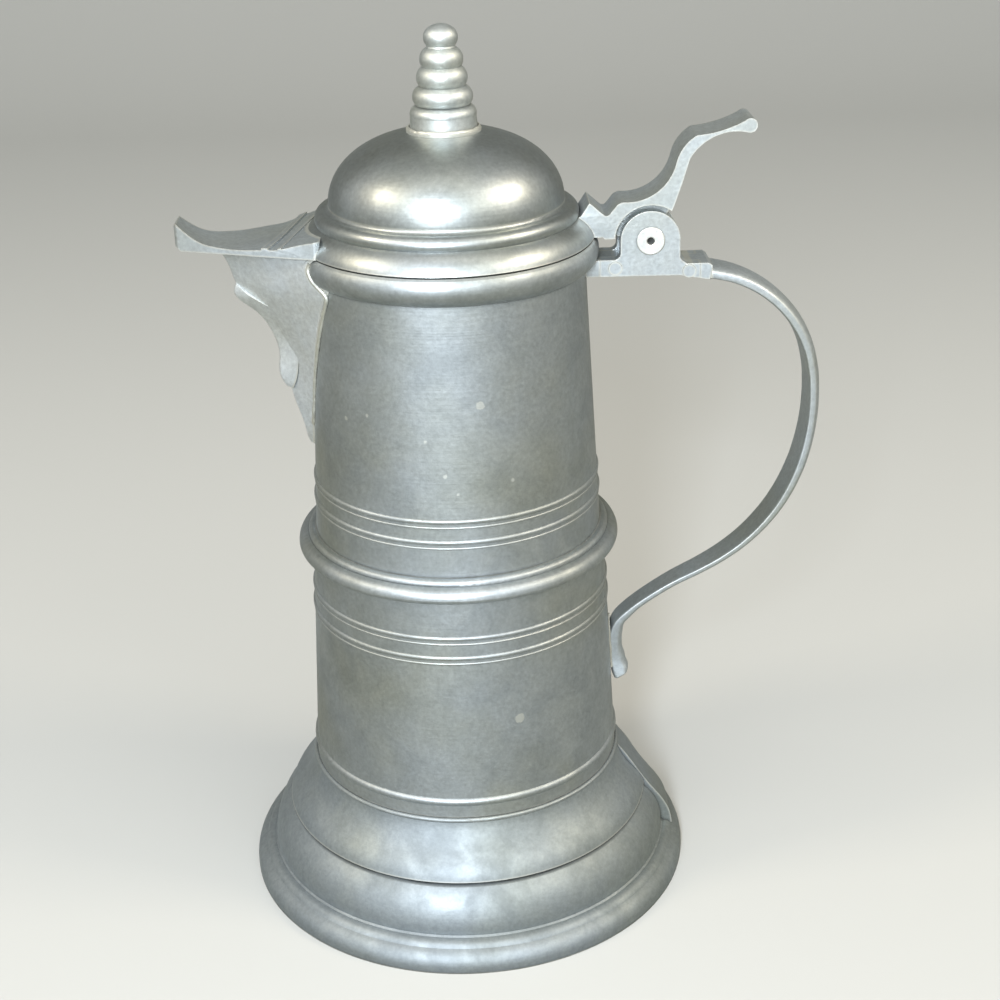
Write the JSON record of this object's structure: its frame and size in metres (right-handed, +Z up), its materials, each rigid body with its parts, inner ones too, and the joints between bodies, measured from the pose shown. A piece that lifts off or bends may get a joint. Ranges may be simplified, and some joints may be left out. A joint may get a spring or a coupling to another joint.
{
  "type": "lidded pitcher",
  "caption": "Tall tapered pewter pitcher on a stepped foot, with a hinged domed lid, thumb lever, beak spout under a flap, and strap handle.",
  "frame": {"origin": "centre of the foot's flat underside, on the drum's axis", "axes": "+Z up along the drum's axis; the handle and the hinge stand towards +X and the spout towards -X; +Y completes the frame, along the hinge pin"},
  "size_m": [0.1963, 0.148, 0.28],
  "materials": {
    "pewter": "satin cast pewter",
    "pewter_inside": "dull pewter, darker inside",
    "pin_metal": "brighter pewter, worn smooth"
  },
  "bodies": {
    "vessel": {"foot": "pewter", "base_disc": "pewter_inside", "drum_lower": "pewter", "drum_upper": "pewter", "mid_band": "pewter", "rim_collar": "pewter", "spout": "pewter", "handle": "pewter", "hinge_cheek_near": "pewter", "hinge_cheek_far": "pewter", "cheek_rivets": "pin_metal", "hinge_pin": "pin_metal"},
    "lid": {"lid_brim": "pewter", "lid_dome": "pewter", "lid_bezel": "pewter", "finial_seat": "pewter", "finial": "pewter", "finial_screw": "pin_metal", "spout_flap": "pewter", "thumb_lever": "pewter"}
  },
  "joints": [
    {"name": "lid_hinge", "type": "hinge", "parent": "vessel", "child": "lid", "pos_m": [0.0606, 0, 0.2158], "axis": [0, 1, 0], "range_deg": [0, 70]}
  ]
}
